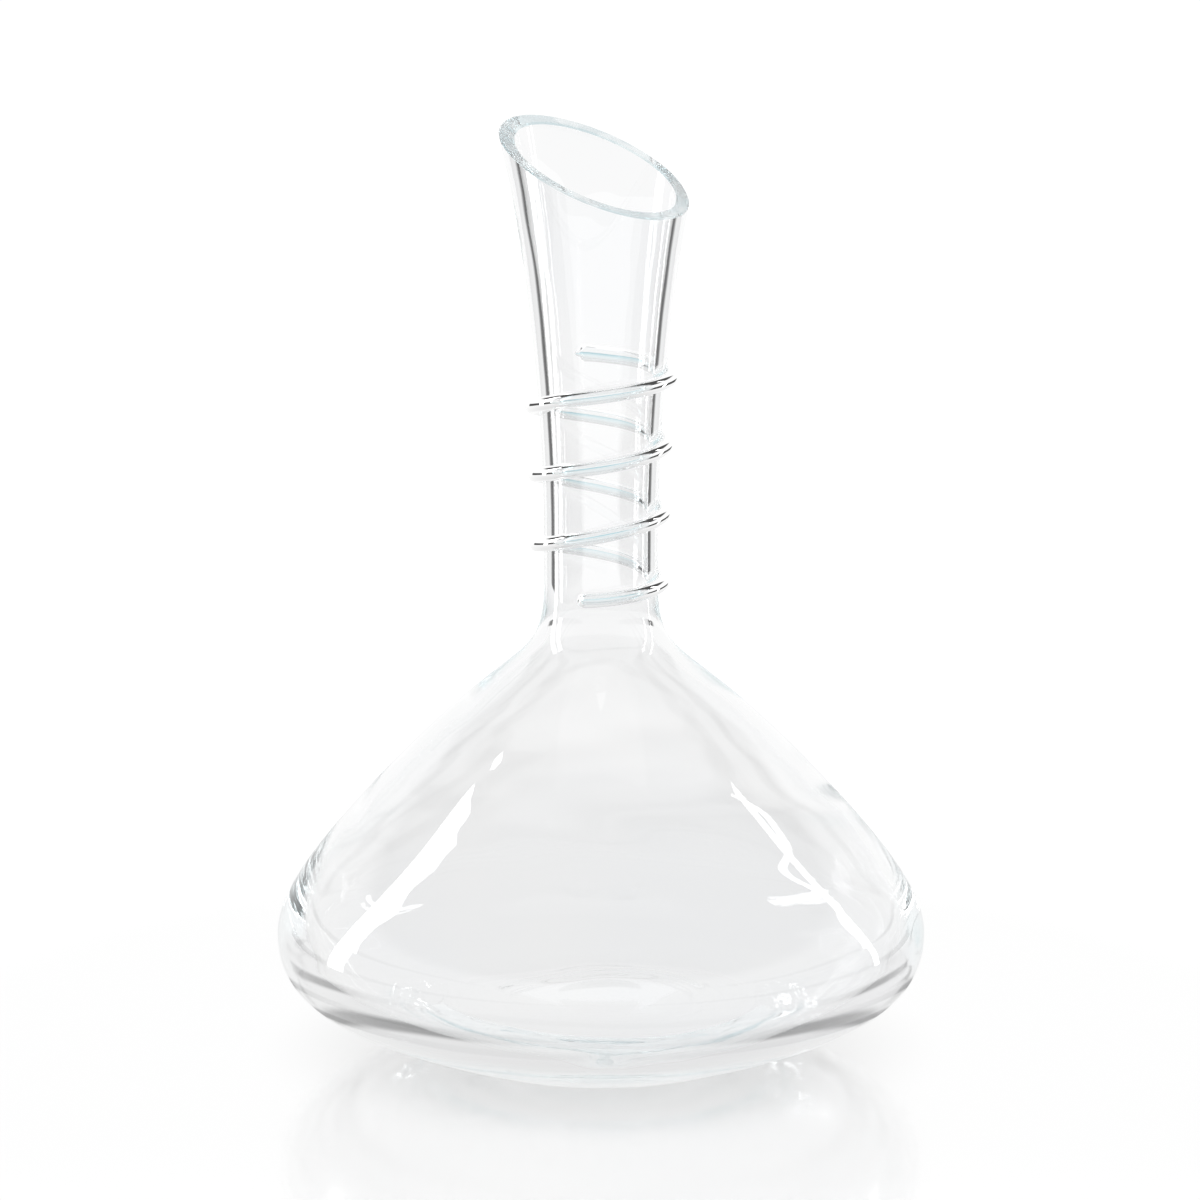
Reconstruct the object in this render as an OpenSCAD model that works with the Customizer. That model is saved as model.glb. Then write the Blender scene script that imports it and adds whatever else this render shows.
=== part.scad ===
// Wine decanter in clear blown glass: a broad conical bowl, a slim neck that
// flares to a mouth cut on the slant, and a glass thread wound round the neck.
// Millimetres, +Z up. The origin is on the axis, on the table that the foot stands on.
// The pouring lip, the low side of the mouth, points between +X and -Y.

/* [Bowl] */
// Diameter of the bowl at its widest
belly_d = 200; // [190:1:210]
// Height of the widest level
belly_z = 37; // [35:0.5:39]
// Radius of the point halfway up the shoulder
shoulder_r = 65; // [62:0.5:68]
// Height of that point
shoulder_z = 88; // [85:0.5:91]
// Direction of the shoulder there, in degrees anticlockwise from straight outwards
shoulder_angle = 133.5; // [131:0.5:136]
// Wall thickness at the widest level
belly_wall = 6; // [4:0.5:8]
// Wall thickness halfway up the shoulder
shoulder_wall = 4.2; // [3:0.1:5]

/* [Base] */
// Outer diameter of the ring that the decanter stands on
foot_d = 99; // [94:1:104]
// Width of that ring
foot_w = 7.5; // [4:0.5:10]
// Slope of the underside where it leaves the ring, in degrees
foot_slope = 20; // [16:1:24]
// Height of the hollow under the middle of the base
recess_h = 4; // [2:0.5:5]
// Height of the inner floor above the table
floor_z = 9.5; // [8:0.5:11]
// Radius of the raised middle of the inner floor
punt_r = 35; // [30:1:40]
// How far the middle of the inner floor rises
punt_h = 5; // [2:0.5:7]

/* [Neck] */
// Outer diameter of the neck at its slimmest
neck_d = 35; // [34:0.5:37]
// Height at which the shoulder has turned into the neck
neck_z = 146; // [143:0.5:149]
// Height at which the outside starts to flare
flare_z = 154; // [151:0.5:157]
// Bore diameter of the straight stretch of the neck
bore_d = 28.6; // [27:0.1:29]
// Height of the bottom of that stretch
bore_z0 = 137; // [135:0.5:139]
// Height of the top of that stretch, where the inside starts to flare
bore_z1 = 160; // [158:0.5:164]

/* [Mouth] */
// Height at which the cut crosses the axis
cut_z = 270; // [264:0.5:274]
// Slant of the cut, in degrees from level
cut_slant = 27; // [15:1:30]
// Direction in which the cut falls, in degrees anticlockwise from +X
cut_azimuth = -45; // [-90:5:0]
// Outer radius of the flare at the reference height
lip_r = 29.4; // [28:0.1:31]
// Reference height for the two lip sizes
lip_z = 275; // [272:0.5:278]
// Wall thickness of the flare at the reference height
lip_wall = 4.3; // [3:0.1:5]

/* [Spiral thread] */
// Diameter of the glass thread
thread_d = 4.5; // [3.5:0.1:5]
// Diameter that it grows to just before its drawn-off end
thread_end_d = 5.6; // [5:0.1:6]
// Depth that its flattened back is melted onto the neck
thread_seat = 0.25; // [0.1:0.05:0.5]
// Height of its centre at the lower end
thread_z = 142.3; // [141:0.1:146]
// Rise in one full turn
thread_pitch = 21.1; // [18:0.1:21.5]
// Number of turns
thread_turns = 3.64; // [2:0.01:3.8]
// Direction of its lower end, in degrees anticlockwise from +X
thread_start = -113; // [-180:1:180]

/* [Hidden] */

glass_colour = [0.86, 0.92, 0.93, 0.45];
thread_colour = [0.78, 0.88, 0.90, 0.75];

belly = [belly_d / 2, belly_z];
shoulder = [shoulder_r, shoulder_z];
foot_r = foot_d / 2;
bore_r = bore_d / 2;
neck_r = neck_d / 2;
foot_in_r = foot_r - foot_w;
belly_in = [belly_d / 2 - belly_wall, belly_z + 1];
shoulder_in = shoulder + shoulder_wall * heading(shoulder_angle + 90);

// How far each end of a curve runs along its own direction before it bends
foot_reach = 36.5;
belly_reach_down = 19;
belly_reach_up = 7;
shoulder_reach_down = 45;
shoulder_reach_up = 57;
neck_reach_down = 27;
floor_reach = 38;
belly_in_reach_down = 16;
shoulder_in_reach_down = 42;
shoulder_in_reach_up = 47;
bore_reach_down = 16;

outer_power = 2.1;
inner_power = 2.05;
blank_top = 296;
curve_steps = 16;
flare_steps = 24;
dome_steps = 10;
round_fn = 180;

thread_sides = 12;
thread_step = 9;
// Turns over which the thread levels out at each end, and how much of its rise it loses there
level_turns = 0.16;
level_share = 0.8;
// Turns over which the thread thickens, rounds off at its start and is drawn out at its end
swell_turns = 0.6;
nose_turns = 0.018;
tip_turns = 0.024;
tip_share = 0.12;
nose_rings = 4;
tip_rings = 4;

function heading(angle) = [cos(angle), sin(angle)];

// Cubic curve from a to d that leaves towards b and arrives from c. Its last point is left
// to the next curve.
function curve(a, b, c, d) = [
    for (i = [0 : curve_steps - 1])
        let (t = i / curve_steps, s = 1 - t)
        s * s * s * a + 3 * s * s * t * b + 3 * s * t * t * c + t * t * t * d
];

// A dome of the given radius and height on the axis, from the middle outwards
function dome(radius, low, high) = [
    for (i = [0 : dome_steps])
        let (r = radius * i / dome_steps)
        [r, low + (high - low) * (1 + cos(180 * i / dome_steps)) / 2]
];

function flare(z, start_z, start_r, end_r, power) =
    start_r + (end_r - start_r) * pow(max(0, z - start_z) / (lip_z - start_z), power);

function neck_outer(z) = flare(z, flare_z, neck_r, lip_r, outer_power);

function neck_inner(z) = flare(z, bore_z1, bore_r, lip_r - lip_wall, inner_power);

function flare_heights(start_z) = [
    for (i = [0 : flare_steps]) start_z + (blank_top - start_z) * i / flare_steps
];

outer_side = concat(
    curve([foot_r, 0], [foot_r, 0] + foot_reach * heading(foot_slope),
          belly - [0, belly_reach_down], belly),
    curve(belly, belly + [0, belly_reach_up],
          shoulder - shoulder_reach_down * heading(shoulder_angle), shoulder),
    curve(shoulder, shoulder + shoulder_reach_up * heading(shoulder_angle),
          [neck_r, neck_z - neck_reach_down], [neck_r, neck_z]),
    [[neck_r, neck_z]],
    [for (z = flare_heights(flare_z)) [neck_outer(z), z]]
);

inner_side = concat(
    [for (p = dome(punt_r, floor_z, floor_z + punt_h)) if (p[0] < punt_r) p],
    curve([punt_r, floor_z], [punt_r + floor_reach, floor_z],
          belly_in - [0, belly_in_reach_down], belly_in),
    curve(belly_in, belly_in + [0, belly_reach_up],
          shoulder_in - shoulder_in_reach_down * heading(shoulder_angle), shoulder_in),
    curve(shoulder_in, shoulder_in + shoulder_in_reach_up * heading(shoulder_angle),
          [bore_r, bore_z0 - bore_reach_down], [bore_r, bore_z0]),
    [[bore_r, bore_z0]],
    [for (z = flare_heights(bore_z1)) [neck_inner(z), z]]
);

underside = dome(foot_in_r, 0, recess_h);

function reversed(points) = [for (i = [len(points) - 1 : -1 : 0]) points[i]];

// Everything above the slanted plane of the mouth
module mouth_cut() {
    rotate([0, 0, cut_azimuth])
        translate([0, 0, cut_z])
            rotate([0, cut_slant, 0])
                translate([-belly_d / 2, -belly_d / 2, 0])
                    cube([belly_d, belly_d, blank_top]);
}

// The blown body: bowl, base, neck and flare in one wall of glass, open at the mouth
module glass_vessel() {
    color(glass_colour)
        difference() {
            rotate_extrude($fn = round_fn)
                polygon(concat(underside, outer_side, reversed(inner_side)));
            mouth_cut();
        }
}

// Height of the thread's centre after u turns: a steady helix that levels out at both ends
function thread_height(u) =
    thread_z + thread_pitch * (u
        - level_share * level_turns * (1 - exp(-u / level_turns))
        - level_share * level_turns * exp((u - thread_turns) / level_turns));

// Radius of the thread after u turns: rounded start, slow swell, end drawn out to a nib
function thread_radius(u) =
    let (swell = pow(max(0, 1 - (thread_turns - u) / swell_turns), 2),
         body = (thread_d + (thread_end_d - thread_d) * swell) / 2,
         nose = 1 - min(1, u / nose_turns),
         tip = min(1, (thread_turns - u) / tip_turns))
    body * max(tip_share, sqrt(1 - nose * nose)) * (tip_share + (1 - tip_share) * sqrt(tip));

// One ring of the thread. Its back lies against the outside of the neck.
function thread_ring(u) =
    let (radius = thread_radius(u),
         z = thread_height(u),
         centre = neck_outer(z) + max(0, radius - thread_seat),
         azimuth = thread_start + 360 * u)
    [for (i = [0 : thread_sides - 1])
        let (a = 360 * i / thread_sides,
             ring_z = z + radius * sin(a),
             ring_r = max(neck_outer(ring_z), centre + radius * cos(a)))
        [ring_r * cos(azimuth), ring_r * sin(azimuth), ring_z]];

middle_turns = thread_turns - nose_turns - tip_turns;
middle_steps = ceil(360 * middle_turns / thread_step);
ring_turns = concat(
    [for (i = [0 : nose_rings - 1]) nose_turns * (1 - cos(90 * i / nose_rings))],
    [for (i = [0 : middle_steps]) nose_turns + middle_turns * i / middle_steps],
    [for (i = [1 : tip_rings]) thread_turns - tip_turns * (1 - sin(90 * i / tip_rings))]
);

// The applied thread: one trail of hot glass wound up the neck
module spiral_thread() {
    rings = len(ring_turns);
    points = [for (u = ring_turns) each thread_ring(u)];
    sides = [
        for (k = [0 : rings - 2])
            for (i = [0 : thread_sides - 1])
                let (j = (i + 1) % thread_sides,
                     a = k * thread_sides + i,
                     b = k * thread_sides + j,
                     c = a + thread_sides,
                     d = b + thread_sides)
                each [[a, b, d], [a, d, c]]
    ];
    first_cap = [for (i = [0 : thread_sides - 1]) i];
    last_cap = [for (i = [0 : thread_sides - 1]) rings * thread_sides - 1 - i];
    color(thread_colour)
        polyhedron(points, concat([reversed(first_cap)], sides, [reversed(last_cap)]));
}

glass_vessel();
spiral_thread();
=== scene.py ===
# %% [markdown]
# # A blown glass decanter
# The decanter is two pieces of clear glass: the blown vessel, and the thread that was wound,
# still hot, round its neck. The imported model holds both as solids. Here each one gets a finer
# surface, the small signs of hand work, a glass finish, and a studio to stand in.
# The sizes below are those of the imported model, so the new surfaces lie where its solids do.

import bpy
import numpy as np
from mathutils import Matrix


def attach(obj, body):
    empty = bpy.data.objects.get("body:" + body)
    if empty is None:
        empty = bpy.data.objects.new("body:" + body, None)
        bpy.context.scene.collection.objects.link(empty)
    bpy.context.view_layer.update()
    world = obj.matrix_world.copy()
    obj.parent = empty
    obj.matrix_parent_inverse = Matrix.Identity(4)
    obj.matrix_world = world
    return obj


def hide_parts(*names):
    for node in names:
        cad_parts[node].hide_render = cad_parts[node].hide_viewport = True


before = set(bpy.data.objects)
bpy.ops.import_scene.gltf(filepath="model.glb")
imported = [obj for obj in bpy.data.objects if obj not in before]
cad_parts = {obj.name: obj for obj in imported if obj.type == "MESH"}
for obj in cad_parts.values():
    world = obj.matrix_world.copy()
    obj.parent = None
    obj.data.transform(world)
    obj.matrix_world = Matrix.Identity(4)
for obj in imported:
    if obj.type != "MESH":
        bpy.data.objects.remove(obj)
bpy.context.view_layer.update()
MM = 0.001

# %% [markdown]
# ## From a grid of points to a mesh
# Every surface here is a grid: one direction goes round the piece, the other goes along it.
# A grid could be made by adding faces one at a time, but it is quicker and plainer to work out
# all the corner numbers of all the faces as one array. Each face joins four neighbours in the
# grid, and the last column joins the first, so the surface closes round. The first and last
# rows are closed by one point each, so the shell has no hole.

# %% Faces of a grid
def grid_faces(rows, columns):
    """Faces of a grid that is closed round its columns. Face (i, j) joins point (i, j) to
    (i, j + 1), (i + 1, j + 1) and (i + 1, j), with j + 1 counted round."""
    i = np.arange(rows - 1)[:, None] * columns
    j = np.arange(columns)[None, :]
    k = (j + 1) % columns
    quads = np.stack([i + j, i + k, i + columns + k, i + columns + j], axis=-1)
    return quads.reshape(-1, 4)


def fan_faces(ring, centre, ring_first):
    """Triangles from the points of a ring to one centre point, one for each side of the ring.
    They run with the ring or against it, so that both ends face the way the tube's sides do."""
    after = np.roll(ring, -1)
    middle = np.full_like(ring, centre)
    order = (ring, after, middle) if ring_first else (after, ring, middle)
    return np.stack(order, axis=-1)


# %% Make a mesh from a grid
def closed_tube(name, points):
    """A mesh from points[row, column, xyz]. Its ends are closed by the mean of their rings."""
    rows, columns, _ = points.shape
    ends = np.stack([points[0].mean(axis=0), points[-1].mean(axis=0)])
    vertices = np.concatenate([points.reshape(-1, 3), ends])
    first = np.arange(columns)
    last = first + (rows - 1) * columns
    quads = grid_faces(rows, columns)
    triangles = np.concatenate([fan_faces(first, rows * columns, False),
                                fan_faces(last, rows * columns + 1, True)])
    corners = np.concatenate([quads.ravel(), triangles.ravel()])
    starts = np.concatenate([np.arange(len(quads)) * 4,
                             len(quads) * 4 + np.arange(len(triangles)) * 3])
    mesh = bpy.data.meshes.new(name)
    mesh.vertices.add(len(vertices))
    mesh.vertices.foreach_set("co", vertices.astype(np.float32).ravel())
    mesh.loops.add(len(corners))
    mesh.loops.foreach_set("vertex_index", corners.astype(np.int32))
    mesh.polygons.add(len(starts))
    mesh.polygons.foreach_set("loop_start", starts.astype(np.int32))
    mesh.update(calc_edges=True)
    mesh.validate()
    mesh.polygons.foreach_set("use_smooth", np.ones(len(mesh.polygons), dtype=bool))
    piece = bpy.data.objects.new(name, mesh)
    bpy.context.scene.collection.objects.link(piece)
    print(name, "has", len(vertices), "points and",
          2 * len(quads) + len(triangles), "triangles")
    return piece


# %% [markdown]
# ## The wall of the vessel
# A blown bowl is round, so its wall is one outline turned about the axis: under the foot,
# up the outside, over the rim and down the inside. The outline is made of cubic curves, which
# leave each point in one direction and arrive at the next in another, as a bent strip does.
# Turning a sketch with a Screw modifier would do the same, but the slanted mouth and the
# small unevenness of the wall are easier when every point is a number of the grid.

# %% Outline curves
def heading(degrees):
    """Unit vector at an angle from straight outwards: its cosine and its sine."""
    return np.array([np.cos(np.radians(degrees)), np.sin(np.radians(degrees))])


def bend(start, start_angle, start_pull, end, end_angle, end_pull, steps):
    """Curve that leaves one point at an angle and reaches another at an angle. Its two middle
    controls lie a pull away from the ends, along those angles. Each point is the sum of the
    four controls, weighted by the four terms of ((1 - t) + t) cubed. The last point is left
    to the next curve."""
    leave = start + start_pull * heading(start_angle)
    arrive = end - end_pull * heading(end_angle)
    t = np.arange(steps)[:, None] / steps
    s = 1 - t
    return s**3 * start + 3 * s * s * t * leave + 3 * s * t * t * arrive + t**3 * end


def dome(radius, low, high, steps):
    """Outline of a shallow dome, from near the axis outwards: its height falls from high to
    low as one half wave of a cosine."""
    r = radius * np.arange(1, steps) / steps
    return np.stack([r, low + (high - low) * (1 + np.cos(np.pi * r / radius)) / 2], axis=-1)


# %% Sizes of the bowl, in millimetres
UPRIGHT, LEVEL = 90.0, 0.0
BELLY, BELLY_IN = np.array([100.0, 37.0]), np.array([94.0, 38.0])
SHOULDER, SHOULDER_ANGLE, SHOULDER_WALL = np.array([65.0, 88.0]), 133.5, 4.2
SHOULDER_IN = SHOULDER + SHOULDER_WALL * heading(SHOULDER_ANGLE + 90)
NECK, BORE = np.array([17.5, 146.0]), np.array([14.3, 137.0])
FOOT_IN, FOOT_MIDDLE, FOOT_OUT = 42.0, 45.75, 49.5
FOOT_EDGE, FOOT_SLOPE = np.array([FOOT_OUT, 0.12]), 20.0
RECESS_H, PUNT_R, PUNT_H, FLOOR_Z = 4.0, 35.0, 5.0, 9.5
FLOOR_EDGE = np.array([PUNT_R, FLOOR_Z])
print("wall at the widest level:", BELLY[0] - BELLY_IN[0], "mm, at the neck:",
      round(NECK[0] - BORE[0], 1), "mm")

# %% The outline in three parts
under = np.concatenate([
    dome(FOOT_IN, 0.0, RECESS_H, 42),
    [[FOOT_IN + 0.1, 0.02], [FOOT_IN + 1.2, 0.0], [FOOT_MIDDLE, 0.0], [FOOT_OUT - 1.5, 0.0]],
])
outside = np.concatenate([
    bend(FOOT_EDGE, FOOT_SLOPE, 36.4, BELLY, UPRIGHT, 19.0, 44),
    bend(BELLY, UPRIGHT, 7.0, SHOULDER, SHOULDER_ANGLE, 45.0, 64),
    bend(SHOULDER, SHOULDER_ANGLE, 57.0, NECK, UPRIGHT, 27.0, 60),
])
inside = np.concatenate([
    dome(PUNT_R, FLOOR_Z, FLOOR_Z + PUNT_H, 32),
    bend(FLOOR_EDGE, LEVEL, 38.0, BELLY_IN, UPRIGHT, 16.0, 42),
    bend(BELLY_IN, UPRIGHT, 7.0, SHOULDER_IN, SHOULDER_ANGLE, 42.0, 54),
    bend(SHOULDER_IN, SHOULDER_ANGLE, 47.0, BORE, UPRIGHT, 16.0, 48),
])
print("outline rows:", len(under), len(outside), len(inside))

# %% [markdown]
# ## Marks in the base
# While the mouth was worked, a rod held the vessel by the middle of its underside. The place
# where the rod came off leaves a shallow hollow there. Inside, the glass that was pushed up to
# make the punt left a low ridge round it. Both are too small to see by themselves, but they
# bend what is seen through the thick base. Sculpting them by hand would work too, but as they
# are round they are only one more term in the outline's height.

# %% Rod mark and ridge
ROD_MARK_R, ROD_MARK_H = 13.0, 0.5
RIDGE_R, RIDGE_H, RIDGE_WIDTH, BASE_TOP = 33.0, 0.35, 2.0, 20.0
rod_mark = ROD_MARK_H * np.maximum(0, 1 - (under[:, 0] / ROD_MARK_R) ** 2)
ridge = RIDGE_H * np.exp(-((inside[:, 0] - RIDGE_R) / RIDGE_WIDTH) ** 2)
under[:, 1] += rod_mark
inside[:, 1] += ridge * (inside[:, 1] < BASE_TOP)
print("hollow of the underside in mm:", round(float(under[:, 1].max()), 2))

# %% [markdown]
# ## The slanted mouth
# The neck flares and was then cut off on the slant and ground flat, so the rim is a flat ring
# with a narrow polished bevel on each side. A boolean cut would leave long thin faces there.
# Instead each column of the grid ends where its own flare meets the slanted plane. That height
# depends on the radius and the radius on the height, so the two are worked out in turn until
# they agree, for all columns at once.

# %% Flare and cut
COLUMNS = 175
LIP_Z, OUT_Z, IN_Z = 275.0, 154.0, 160.0
OUT_GROWTH, OUT_POWER = 11.9, 2.1
IN_GROWTH, IN_POWER = 10.8, 2.05
CUT_Z, CUT_SLOPE, CUT_AZIMUTH = 270.0, np.tan(np.radians(27)), np.radians(-45)
around = 2 * np.pi * np.arange(COLUMNS) / COLUMNS


def flare_out(z):
    """Outer radius of the neck: even up to a height, then growing with a power of the height
    above it."""
    return NECK[0] + OUT_GROWTH * (np.maximum(0, z - OUT_Z) / (LIP_Z - OUT_Z)) ** OUT_POWER


def flare_in(z):
    """Inner radius of the neck, which grows in the same way from a little higher up."""
    return BORE[0] + IN_GROWTH * (np.maximum(0, z - IN_Z) / (LIP_Z - IN_Z)) ** IN_POWER


def cut_height(radius, azimuth):
    """Height of the slanted plane over the point at this radius and azimuth: it falls evenly
    with the distance in the direction in which the mouth is lowest."""
    return CUT_Z - CUT_SLOPE * radius * np.cos(azimuth - CUT_AZIMUTH)


def rim_circle(flare):
    """Height and radius, for each column, at which a flare meets the slanted plane."""
    z = np.full(COLUMNS, CUT_Z)
    for _ in range(30):
        z = cut_height(flare(z), around)
    return z, flare(z)


rim_out_z, rim_out_r = rim_circle(flare_out)
rim_in_z, rim_in_r = rim_circle(flare_in)
print("rim height from", round(rim_out_z.min(), 1), "to", round(rim_out_z.max(), 1), "mm")

# %% Rows of the neck and the rim
BEVEL, NECK_ROWS, CLOSER_TO_RIM = 0.5, 84, 0.9
rise = np.linspace(0, 1, NECK_ROWS)[:, None] ** CLOSER_TO_RIM
neck_out_z = OUT_Z + (rim_out_z - BEVEL - OUT_Z) * rise
neck_in_z = IN_Z + (rim_in_z - BEVEL - IN_Z) * rise[::-1]
across = np.array([0.0, 0.12, 0.5, 0.88, 1.0])[:, None]
ring_r = (rim_out_r - BEVEL) * (1 - across) + (rim_in_r + BEVEL) * across
ring_z = cut_height(ring_r, around[None, :])
straight_out = np.array([[NECK[0], z] for z in (146.0, 149.0, 152.0)])
straight_in = np.array([[BORE[0], z] for z in (156.0, 149.0, 143.0, 137.0)])
print("rows up the flare:", NECK_ROWS, "rows across the rim:", len(across))


# %% The whole grid
def turned(outline):
    """Radius and height of an outline for every column, the same all the way round."""
    one = np.ones(COLUMNS)
    return outline[:, :1] * one, outline[:, 1:] * one


def stack(parts):
    """One array of radii and one of heights from the parts, row after row."""
    return np.concatenate([p[0] for p in parts]), np.concatenate([p[1] for p in parts])


radius, height = stack([
    turned(under), turned(outside), turned(straight_out), (flare_out(neck_out_z), neck_out_z),
    (ring_r, ring_z), (flare_in(neck_in_z), neck_in_z), turned(straight_in),
    turned(inside[::-1]),
])
rows_out = len(under) + len(outside) + len(straight_out) + NECK_ROWS
rows_ring = len(across)
print("grid:", radius.shape, "outside ends at row", rows_out)

# %% [markdown]
# ## Signs of hand work
# A blown wall is never quite even. Most of that shows in how it bends what lies behind it, so
# a few tenths of a millimetre matter more here than any colour. The unevenness could come
# from a bump pattern, but then the two sides of the wall would stay parallel. Here it is a
# sum of waves that go round a whole number of times, so they meet themselves again, and the
# wall is moved along the outline's own normal. Long waves run all over the outside and the
# inside. Shorter ones low on the outside are the marks of the wet tool that drew the bowl in
# to its foot. The outside is also set in by more than its long waves stand out, so that the
# bowl keeps to its packed size.

# %% Waves in the wall
def outline_normal(r, z):
    """Unit normal of every column's outline: its direction turned by a quarter turn."""
    dr, dz = np.gradient(r, axis=0), np.gradient(z, axis=0)
    length = np.hypot(dr, dz) + 1e-9
    return dz / length, -dr / length


SLANT = 0.6


def hand_waves(r, z, waves):
    """Sum of sine waves. Each has an amplitude in millimetres, a number of times that it goes
    round, a wavelength in millimetres along the height less a share of the radius, and a
    phase."""
    total = np.zeros_like(r)
    for amplitude, turns, length, phase in waves:
        along = 2 * np.pi * (z - SLANT * r) / length
        total += amplitude * np.sin(turns * around[None, :] + along + phase)
    return total


def fade(value, start, end):
    """0 before start, 1 after end, and between them a smooth step, 3 t squared less 2 t
    cubed."""
    t = np.clip((value - start) / (end - start), 0, 1)
    return t * t * (3 - 2 * t)


# %% Where the waves are
OUTSIDE_WAVES = [(0.035, 2, 90, 0.4), (0.022, 3, 61, 1.9), (0.010, 5, 37, 4.1)]
INSIDE_WAVES = [(0.16, 2, 83, 2.6), (0.11, 3, 47, 0.3), (0.06, 5, 29, 5.2), (0.03, 9, 19, 1.1)]
DRAWN_MARKS = [(0.075, 7, 21, 1.4), (0.045, 11, 13, 2.2), (0.028, -17, 9, 3.7),
               (0.016, 23, 7, 5.0)]
SET_IN = 0.07
row = np.arange(len(radius))[:, None]
is_out, is_in = row < rows_out, row >= rows_out + rows_ring
below_rim = fade(rim_out_z[None, :] - height, 1.0, 14.0)
off_floor = fade(height, 3.0, 12.0)
low_down = fade(height, 1.0, 5.0) * (1 - fade(height, 14.0, 30.0)) * fade(radius, 10.0, 40.0)
off_axis = fade(radius, 3.0, 70.0)
print("rows outside:", int(is_out.sum()), "rows inside:", int(is_in.sum()))

# %% Move the wall
shift = below_rim * (
    is_out * low_down * hand_waves(radius, height, DRAWN_MARKS)
    + is_out * off_floor * (hand_waves(radius, height, OUTSIDE_WAVES) - SET_IN)
    + is_in * off_axis * hand_waves(radius, height, INSIDE_WAVES))
normal_r, normal_z = outline_normal(radius, height)
radius = radius + shift * normal_r
height = height + shift * normal_z
print("wall moved by at most", round(float(np.abs(shift).max()), 2), "mm")

# %% Make the vessel
wall = np.stack([radius * np.cos(around), radius * np.sin(around), height], axis=-1) * MM
vessel = closed_tube("vessel_glass", wall)

# %% [markdown]
# ## Crisp edges at the rim
# Smooth shading blends the light over neighbouring faces, which suits the wall but would
# round off the ground rim. Marking the edges along the bevels as sharp keeps the flat ring
# flat. An edge split would do it too, but it opens the shell. The edges are easy to find: the
# rows of the grid say which they are.

# %% Sharp rows
def mark_sharp_rows(piece, rows, columns):
    """Marks the edges whose two ends both lie in one of the given rows of the grid."""
    ends = np.empty(len(piece.data.edges) * 2, dtype=np.int32)
    piece.data.edges.foreach_get("vertices", ends)
    end_row = (ends // columns).reshape(-1, 2)
    sharp = (end_row[:, 0] == end_row[:, 1]) & np.isin(end_row[:, 0], rows)
    mark = piece.data.attributes.new("sharp_edge", "BOOLEAN", "EDGE")
    mark.data.foreach_set("value", sharp)
    return int(sharp.sum())


rim_rows = [rows_out - 1, rows_out, rows_out + rows_ring - 1, rows_out + rows_ring]
print("sharp edges:", mark_sharp_rows(vessel, rim_rows, COLUMNS))

# %% [markdown]
# ## The wound thread
# The thread is a trail of hot glass laid on the turning neck. It levels out where it starts
# and where it was pulled off, it thickens towards the end and runs out in a thin nib, and its
# back is flattened where it melted onto the neck. A curve with a round bevel would give the
# path, but not the flat back, so it is a ring of points carried along a helix. The back sinks
# a tenth of a millimetre into the neck, because a gap would show as a silvery skin.
# One fault is known: the rings are counted up the far side of the thread while the rows run
# anticlockwise round the neck, so the faces of this piece point inwards. Counting the ring's
# angle backwards would turn them outwards, and would change how the thread bends light.

# %% Path of the thread
TURNS, PITCH, THREAD_Z, THREAD_START = 3.64, 21.1, 142.3, np.radians(-113)
LEVEL_LOSS, LEVEL_TURNS = 0.128, 0.16


def thread_height(u):
    """Height after u turns: a steady rise, less a part that dies away from either end."""
    at_start = 1 - np.exp(-u / LEVEL_TURNS)
    at_end = np.exp((u - TURNS) / LEVEL_TURNS)
    return THREAD_Z + PITCH * (u - LEVEL_LOSS * at_start - LEVEL_LOSS * at_end)


# %% Thickness of the thread
THREAD_R, THREAD_END_R, SWELL_TURNS = 2.25, 2.8, 0.6
NOSE, TIP, NIB = 0.030, 0.022, 0.016
NOSE_LEAST, NIB_POINT, NIB_GROWTH = 0.12, 0.06, 0.36


def thread_radius(u):
    """Radius after u turns. It swells with the square of the way through the last part. The
    nose and the end are quarter circles, and past the end the nib grows with the square root
    of the way from its point."""
    swell = np.maximum(0, 1 - (TURNS - u) / SWELL_TURNS) ** 2
    body = THREAD_R + (THREAD_END_R - THREAD_R) * swell
    from_nose = 1 - np.minimum(1, u / NOSE)
    from_tip = 1 - np.clip((TURNS - NIB - u) / TIP, 0, 1)
    nib = NIB_POINT + NIB_GROWTH * np.sqrt(np.clip((TURNS - u) / NIB, 0, 1))
    rounded_start = np.maximum(NOSE_LEAST, np.sqrt(1 - from_nose**2))
    rounded_end = np.maximum(nib, np.sqrt(1 - from_tip**2))
    return body * rounded_start * rounded_end


# %% Steps along the thread, closer together at its ends
BODY_STEPS = 900
nose_u = NOSE * (1 - np.cos(np.linspace(0, np.pi / 2, 13)[:-1]))
tip_u = NIB + TIP * (1 - np.sin(np.linspace(0, np.pi / 2, 11)[1:]))
nib_u = NIB * np.linspace(1, 0, 9)[1:] ** 1.5
u = np.concatenate([nose_u, np.linspace(NOSE, TURNS - NIB - TIP, BODY_STEPS),
                    TURNS - tip_u, TURNS - nib_u])
print("thread rises from", round(float(thread_height(u).min()), 1), "to",
      round(float(thread_height(u).max()), 1), "mm")


# %% Lumps and wander of a hand-laid trail
LUMPS = [(0.022, 2.3, 0.7), (0.0132, 5.1, 2.1)]
WANDER = [(0.22, 1.7, 1.2)]
CALM_TURNS = 0.3


def waves_along(u, waves):
    """Sum of sine waves along the thread, each with an amplitude, a number of waves in each
    turn, and a phase."""
    return sum(amplitude * np.sin(2 * np.pi * each_turn * u + phase)
               for amplitude, each_turn, phase in waves)


ends_away = fade(u, 0.0, CALM_TURNS) * fade(TURNS - u, 0.0, CALM_TURNS)
size = (thread_radius(u) * (1 + ends_away * waves_along(u, LUMPS)))[:, None]
centre_z = (thread_height(u) + ends_away * waves_along(u, WANDER))[:, None]
print("thread thickness up to", round(2 * float(size.max()), 2), "mm")

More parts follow.
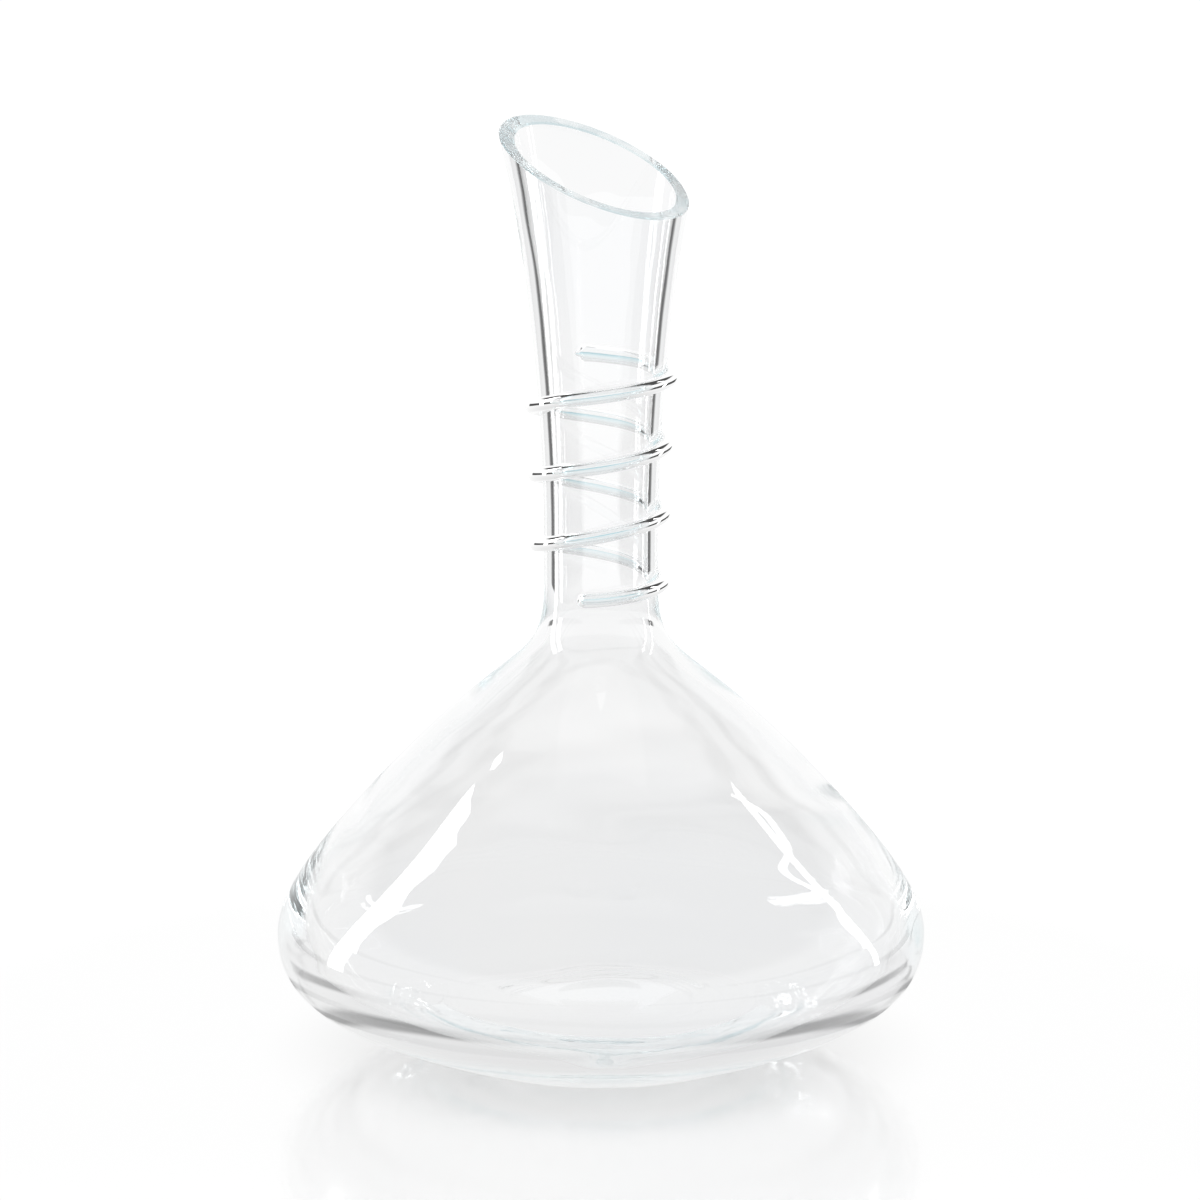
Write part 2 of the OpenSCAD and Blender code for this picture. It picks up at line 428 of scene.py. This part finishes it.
# %% Make the thread
SEAT, SINK, RING_POINTS = 0.25, 0.12, 40
ring_angle = 2 * np.pi * np.arange(RING_POINTS) / RING_POINTS
centre_r = flare_out(centre_z) + np.maximum(0, size - SEAT)
thread_z = centre_z + size * np.sin(ring_angle)
thread_r = np.maximum(flare_out(thread_z) - SINK, centre_r + size * np.cos(ring_angle))
thread_a = (THREAD_START + 2 * np.pi * u)[:, None]
trail = np.stack([thread_r * np.cos(thread_a), thread_r * np.sin(thread_a), thread_z], axis=-1)
thread = closed_tube("thread_glass", trail * MM)

# %% [markdown]
# ## Clear glass
# Glass has almost no colour of its own. What is seen is what it bends: a little of the light
# is turned back at each surface, and the rest goes through. A glass shader would do, but the
# principled shader does the same with transmission at one and the index of refraction of
# glass, and can also be ground. The faint blue-green of a long way through the wall comes
# from absorption inside the volume. A slow noise makes the tint a little uneven, a second one
# varies a slight haze, and a third ripples the surface, as in any hand-made glass.

# %% Helpers for the finishes
def noise(tree, place, scale, detail=2.0):
    """A cloud of values about a half, that follows the piece's own coordinates."""
    node = tree.nodes.new("ShaderNodeTexNoise")
    node.inputs["Scale"].default_value = scale
    node.inputs["Detail"].default_value = detail
    tree.links.new(place.outputs["Object"], node.inputs["Vector"])
    return node.outputs["Fac"]


def stretch(tree, value, from_low, from_high, low, high):
    """A straight line from low to high as the value goes between its two limits."""
    node = tree.nodes.new("ShaderNodeMapRange")
    for name, number in (("From Min", from_low), ("From Max", from_high),
                         ("To Min", low), ("To Max", high)):
        node.inputs[name].default_value = number
    tree.links.new(value, node.inputs["Value"])
    return node.outputs["Result"]


# %% Glass finish
GLASS_IOR, FILM_SCALE, PATCH_LOW, PATCH_HIGH = 1.5, 55.0, 0.42, 0.58
DEEP_TINT, DEEP_DENSITY = (0.50, 0.75, 0.80, 1.0), 0.6


def glass_finish(name, tint, cloud_scale, ripple_scale, ripple_depth, haze, clear=1.0):
    """A clear glass. One noise varies the colour between white and the tint, one varies the
    roughness from none to the haze, and one bends the surface by the ripple's depth."""
    finish = bpy.data.materials.new(name)
    finish.use_nodes = True
    tree = finish.node_tree
    shader = tree.nodes["Principled BSDF"]
    shader.inputs["Transmission Weight"].default_value = clear
    shader.inputs["IOR"].default_value = GLASS_IOR
    place = tree.nodes.new("ShaderNodeTexCoord")

    mix = tree.nodes.new("ShaderNodeMix")
    mix.data_type = "RGBA"
    mix.inputs["A"].default_value = (1.0, 1.0, 1.0, 1.0)
    mix.inputs["B"].default_value = (*tint, 1.0)
    patches = stretch(tree, noise(tree, place, cloud_scale), PATCH_LOW, PATCH_HIGH, 0.0, 1.0)
    tree.links.new(patches, mix.inputs["Factor"])
    tree.links.new(mix.outputs["Result"], shader.inputs["Base Color"])

    film = stretch(tree, noise(tree, place, FILM_SCALE), 0.0, 1.0, 0.0, haze)
    tree.links.new(film, shader.inputs["Roughness"])

    bump = tree.nodes.new("ShaderNodeBump")
    bump.inputs["Strength"].default_value = 1.0
    bump.inputs["Distance"].default_value = ripple_depth
    tree.links.new(noise(tree, place, ripple_scale, detail=1.0), bump.inputs["Height"])
    tree.links.new(bump.outputs["Normal"], shader.inputs["Normal"])

    depth = tree.nodes.new("ShaderNodeVolumeAbsorption")
    depth.inputs["Color"].default_value = DEEP_TINT
    depth.inputs["Density"].default_value = DEEP_DENSITY
    tree.links.new(depth.outputs["Volume"], tree.nodes["Material Output"].inputs["Volume"])
    print("finish", name, "has", len(tree.nodes), "nodes")
    return finish


# %% [markdown]
# ## Three finishes
# The blown wall has broad soft ripples, from the breath and the fire. The thread cooled on the
# neck in a moment, so its ripples are finer. The rim was ground on a wheel and then only half
# polished: it is finely grained, a little grey, and lets through less of the light. All three
# could be one finish, but then the rim would vanish against the wall. The rim gets its own by
# the number of its faces in the grid.

# %% Finishes of the wall, the thread and the rim
blown = glass_finish("blown_clear_glass", tint=(0.990, 0.993, 0.997), cloud_scale=14.0,
                     ripple_scale=18.0, ripple_depth=0.00004, haze=0.004)
laid = glass_finish("laid_thread_glass", tint=(0.995, 0.997, 0.997), cloud_scale=30.0,
                    ripple_scale=60.0, ripple_depth=0.00003, haze=0.004)
ground = glass_finish("ground_rim_glass", tint=(0.76, 0.82, 0.84), cloud_scale=110.0,
                      ripple_scale=400.0, ripple_depth=0.00003, haze=0.16, clear=0.72)
vessel.data.materials.append(blown)
vessel.data.materials.append(ground)
thread.data.materials.append(laid)
on_rim = np.zeros(len(vessel.data.polygons), dtype=np.int32)
on_rim[(rows_out - 1) * COLUMNS:(rows_out + rows_ring) * COLUMNS] = 1
vessel.data.polygons.foreach_set("material_index", on_rim)
print("ground faces:", int(on_rim.sum()))

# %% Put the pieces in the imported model
for piece, node, slot in ((vessel, "glass_vessel", "clear_glass"),
                          (thread, "spiral_thread", "thread_glass")):
    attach(piece, "root")
    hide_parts(node)

# %% [markdown]
# ## The table
# Clear glass shows only its surroundings, so the surroundings are the light. The table is a
# long white sheet that glows, which keeps it even without a lamp for each corner. A real sheet
# with many lamps would do the same, but more slowly. The eye sees it go from a soft grey at
# the foot, which is painted shade, to white, and mirror the bowl near the foot, at a low angle
# only. Light on its way through the glass meets a sheet with painted shade: slightly darker
# near the foot and where the light comes down steeply. Light that was also turned back at a
# surface of the glass meets two painted rings of shade, one under the edge of the bowl and one
# just beyond it, which draw the streaks along its lower edge.

# %% Table
TABLE_X, TABLE_Y, TABLE_Z = 0.6, 6.0, -0.0002
table_mesh = bpy.data.meshes.new("studio_table")
table_mesh.from_pydata([(-TABLE_X, -TABLE_Y, TABLE_Z), (TABLE_X, -TABLE_Y, TABLE_Z),
                        (TABLE_X, TABLE_Y, TABLE_Z), (-TABLE_X, TABLE_Y, TABLE_Z)],
                       [], [(0, 1, 2, 3)])
table = bpy.data.objects.new("studio_table", table_mesh)
bpy.context.scene.collection.objects.link(table)


# %% Helpers for the studio's nodes
def sum_node(tree, operation, *values):
    """A Math node with its inputs filled from numbers or other nodes' outputs."""
    node = tree.nodes.new("ShaderNodeMath")
    node.operation = operation
    for socket, value in zip(node.inputs, values):
        if isinstance(value, (int, float)):
            socket.default_value = value
        else:
            tree.links.new(value, socket)
    return node.outputs["Value"]


def step_node(tree, value, start, end, low, high):
    """A smooth step from low to high as the value goes from start to end."""
    result = stretch(tree, value, start, end, low, high)
    result.node.interpolation_type = "SMOOTHSTEP"
    return result


def choose(tree, share, one, other):
    """One value where the share is 1, the other where it is 0, and a mix of them between:
    share times one, plus 1 less the share times the other."""
    return sum_node(tree, "ADD", sum_node(tree, "MULTIPLY", share, one),
                    sum_node(tree, "MULTIPLY", sum_node(tree, "SUBTRACT", 1.0, share), other))


def band(tree, value, rise_start, rise_end, fall_start, fall_end):
    """1 between the two middle limits, 0 outside the outer two, and smooth between them."""
    return sum_node(tree, "MULTIPLY", step_node(tree, value, rise_start, rise_end, 0.0, 1.0),
                    step_node(tree, value, fall_start, fall_end, 1.0, 0.0))


# %% Distance, angle and kind of light on the table
white_sheet = bpy.data.materials.new("white_gloss_sheet_painted_shade")
white_sheet.use_nodes = True
sheet = white_sheet.node_tree
sheet.nodes.remove(sheet.nodes["Principled BSDF"])
where = sheet.nodes.new("ShaderNodeTexCoord")
from_axis = sheet.nodes.new("ShaderNodeVectorMath")
from_axis.operation = "LENGTH"
sheet.links.new(where.outputs["Object"], from_axis.inputs[0])
away = from_axis.outputs["Value"]
layer = sheet.nodes.new("ShaderNodeLayerWeight")
low_angle = layer.outputs["Facing"]
sheet_path = sheet.nodes.new("ShaderNodeLightPath")
seen = sheet_path.outputs["Is Camera Ray"]
sheet_turned_back = sum_node(sheet, "GREATER_THAN", sheet_path.outputs["Glossy Depth"], 0.5)

# %% How brightly the table glows, with its painted shade
SHADE, FOOT_PAINTED_SHADE, FAR_OFF, STEEP_PAINTED_SHADE = 0.6, 0.86, 0.99, 0.90
SEEN_FOOT_PAINTED_SHADE, SEEN_AWAY = 0.85, 1.24
rings = sum_node(sheet, "ADD", band(sheet, away, 0.088, 0.092, 0.096, 0.101),
                 band(sheet, away, 0.112, 0.117, 0.122, 0.130))
shade = sum_node(sheet, "MULTIPLY", sum_node(sheet, "MULTIPLY", rings, sheet_turned_back), SHADE)
unshaded = sum_node(sheet, "SUBTRACT", 1.0, shade)
# Painted shade: for light from the glass, the glow is darker near the foot and where light comes
# down steeply.
painted_shade_by_distance = step_node(sheet, away, 0.06, 0.80, FOOT_PAINTED_SHADE, FAR_OFF)
painted_shade_by_angle = step_node(sheet, low_angle, 0.10, 0.60, STEEP_PAINTED_SHADE, 1.0)
through_glass_painted_shade = sum_node(sheet, "MULTIPLY", sum_node(sheet, "MULTIPLY", painted_shade_by_distance, unshaded),
                         painted_shade_by_angle)
# Painted shade: as the eye sees it, the glow is darker round the foot, as if the bowl shaded it.
seen_with_painted_foot_shade = step_node(sheet, away, 0.050, 0.110, SEEN_FOOT_PAINTED_SHADE, SEEN_AWAY)
glow = sheet.nodes.new("ShaderNodeEmission")
sheet.links.new(choose(sheet, seen, seen_with_painted_foot_shade, through_glass_painted_shade), glow.inputs["Strength"])

# %% How much the table mirrors
MIRRORED_SHARE, SHEET_ROUGHNESS = 0.60, 0.12
gloss = sheet.nodes.new("ShaderNodeBsdfGlossy")
gloss.inputs["Roughness"].default_value = SHEET_ROUGHNESS
grazing = step_node(sheet, low_angle, 0.58, 0.70, 0.0, MIRRORED_SHARE)
near = sum_node(sheet, "MULTIPLY", step_node(sheet, away, 0.20, 0.40, 1.0, 0.0), seen)
blend = sheet.nodes.new("ShaderNodeMixShader")
sheet.links.new(sum_node(sheet, "MULTIPLY", grazing, near), blend.inputs[0])
sheet.links.new(glow.outputs["Emission"], blend.inputs[1])
sheet.links.new(gloss.outputs["BSDF"], blend.inputs[2])
sheet.links.new(blend.outputs["Shader"], sheet.nodes["Material Output"].inputs["Surface"])
table.data.materials.append(white_sheet)
print("table finish has", len(sheet.nodes), "nodes")

# %% [markdown]
# ## The surroundings
# In a studio, glass is drawn by a white sheet behind it and dark boards beside it. Boards in
# the scene would darken the glass in the other views too, so the surroundings are worked out
# from the direction and the kind of the light instead. Light that went straight through the
# glass meets white all round. Only light that was turned back on its way through the glass
# also meets dark side walls, below the horizon, and that draws the dark lines along the neck.
# Light mirrored off the glass meets a dim room, so that the soft lights stand out in it, with
# a bright low band all round and a bright sheet behind.

# %% Directions
world = bpy.data.worlds.new("studio_surroundings")
bpy.context.scene.world = world
world.use_nodes = True
sky = world.node_tree
direction = sky.nodes.new("ShaderNodeTexCoord")
part = sky.nodes.new("ShaderNodeSeparateXYZ")
sky.links.new(direction.outputs["Generated"], part.inputs[0])
up = part.outputs["Z"]
flat = sum_node(sky, "SQRT", sum_node(sky, "SUBTRACT", 1.0, sum_node(sky, "POWER", up, 2)))
forward = sum_node(sky, "DIVIDE", part.outputs["Y"], sum_node(sky, "MAXIMUM", flat, 0.01))
path = sky.nodes.new("ShaderNodeLightPath")

# %% What bent light and mirrored light meet
DARK_SIDE, THROUGH, WHITE, DIM_ROOM = 0.12, 0.955, 1.04, 0.08
to_the_side = step_node(sky, sum_node(sky, "ABSOLUTE", forward), 0.69, 0.79, 1.0, 0.0)
downwards = step_node(sky, up, -0.04, -0.01, 1.0, 0.0)
dark_wall = sum_node(sky, "MULTIPLY", to_the_side, downwards)
turned_back = sum_node(sky, "GREATER_THAN", path.outputs["Glossy Depth"], 0.5)
through = choose(sky, sum_node(sky, "MULTIPLY", dark_wall, turned_back), DARK_SIDE, THROUGH)
low_sky = band(sky, up, -0.01, 0.01, 0.42, 0.55)
behind = step_node(sky, forward, 0.73, 0.79, 0.0, 1.0)
bright = sum_node(sky, "MULTIPLY", WHITE, sum_node(sky, "MAXIMUM", low_sky, behind))
mirrored = sum_node(sky, "MAXIMUM", DIM_ROOM, bright)

# %% Put the surroundings together
bent = sum_node(sky, "MAXIMUM", path.outputs["Is Transmission Ray"],
                path.outputs["Is Diffuse Ray"])
level = choose(sky, path.outputs["Is Camera Ray"], WHITE,
               choose(sky, bent, through, mirrored))
sky.nodes["Background"].inputs["Color"].default_value = (1, 1, 1, 1)
sky.links.new(level, sky.nodes["Background"].inputs["Strength"])
print("surroundings have", len(sky.nodes), "nodes")

# %% [markdown]
# ## Soft lights
# The long highlights down the bowl are two tall soft lights, one at each side and a little
# behind: a wide one on the left and a narrow one on the right. Both are set upright at the
# same distance. A third, large and weak, hangs overhead and softens the top of the shoulder.

# %% Soft lights
LIGHT_AWAY, LIGHT_HEIGHT = 1.2, 0.58


def beside(azimuth):
    """A place beside the decanter, at an azimuth in degrees from the camera: the sine and
    the cosine of the azimuth, times the distance."""
    a = np.radians(azimuth)
    return (LIGHT_AWAY * np.sin(a), -LIGHT_AWAY * np.cos(a), LIGHT_HEIGHT)


def soft_light(name, place, aim, wide, tall, brightness):
    """A rectangular lamp at a place that faces a point. Its power is its brightness times pi
    times its area, and the eye doesn't see it directly."""
    lamp = bpy.data.lights.new(name, "AREA")
    lamp.shape = "RECTANGLE"
    lamp.size, lamp.size_y = wide, tall
    lamp.energy = brightness * np.pi * wide * tall
    holder = bpy.data.objects.new(name, lamp)
    bpy.context.scene.collection.objects.link(holder)
    holder.location = place
    back = np.array(place) - np.array(aim)
    turn = np.arctan2(back[0], -back[1])
    tilt = np.arctan2(np.hypot(back[0], back[1]), back[2])
    holder.rotation_euler = (tilt, 0, turn)
    holder.visible_camera = False
    print(name, "is", wide, "by", tall, "m")


soft_light("left_window", place=beside(-101), aim=(0, 0, LIGHT_HEIGHT),
           wide=0.19, tall=1.67, brightness=6)
soft_light("right_strip", place=beside(107), aim=(0, 0, LIGHT_HEIGHT),
           wide=0.065, tall=1.55, brightness=6)
soft_light("top_cloud", place=(0, 0.1, 1.4), aim=(0, 0.1, 0),
           wide=0.8, tall=0.8, brightness=0.2)

# %% [markdown]
# ## The camera
# A long lens, a little above the rim and looking slightly down. A short lens could stand
# nearer, but it would stretch whatever lies nearest to it.

# %% Camera
FOCAL, SENSOR, SIDE_SHIFT = 109.4, 36.0, -0.0008
CAMERA_PLACE, CAMERA_TILT = (0, -1.1, 0.3187), 80.75
lens = bpy.data.cameras.new("camera")
lens.lens, lens.sensor_width = FOCAL, SENSOR
lens.shift_x = SIDE_SHIFT
camera = bpy.data.objects.new("camera", lens)
bpy.context.scene.collection.objects.link(camera)
camera.location = CAMERA_PLACE
camera.rotation_euler = (np.radians(CAMERA_TILT), 0, 0)
bpy.context.scene.camera = camera
print("camera looks down by", 90 - CAMERA_TILT, "degrees")

# %% [markdown]
# ## How far the light is followed
# Light can run a long way round inside the wall of the bowl, turned back at every step, as in
# a light guide. If it is given up too early, the sides of the bowl go dark just above the
# widest level. So it is followed for many steps: only the few paths inside the wall need
# them, and the picture takes little longer.

# %% How the picture is worked out
MANY_STEPS = 200
scene = bpy.context.scene
scene.view_settings.view_transform = "Standard"
scene.cycles.use_denoising = True
scene.cycles.max_bounces = MANY_STEPS
scene.cycles.transmission_bounces = MANY_STEPS
scene.cycles.glossy_bounces = MANY_STEPS
scene.cycles.volume_bounces = 0
print("light is followed for up to", MANY_STEPS, "steps")
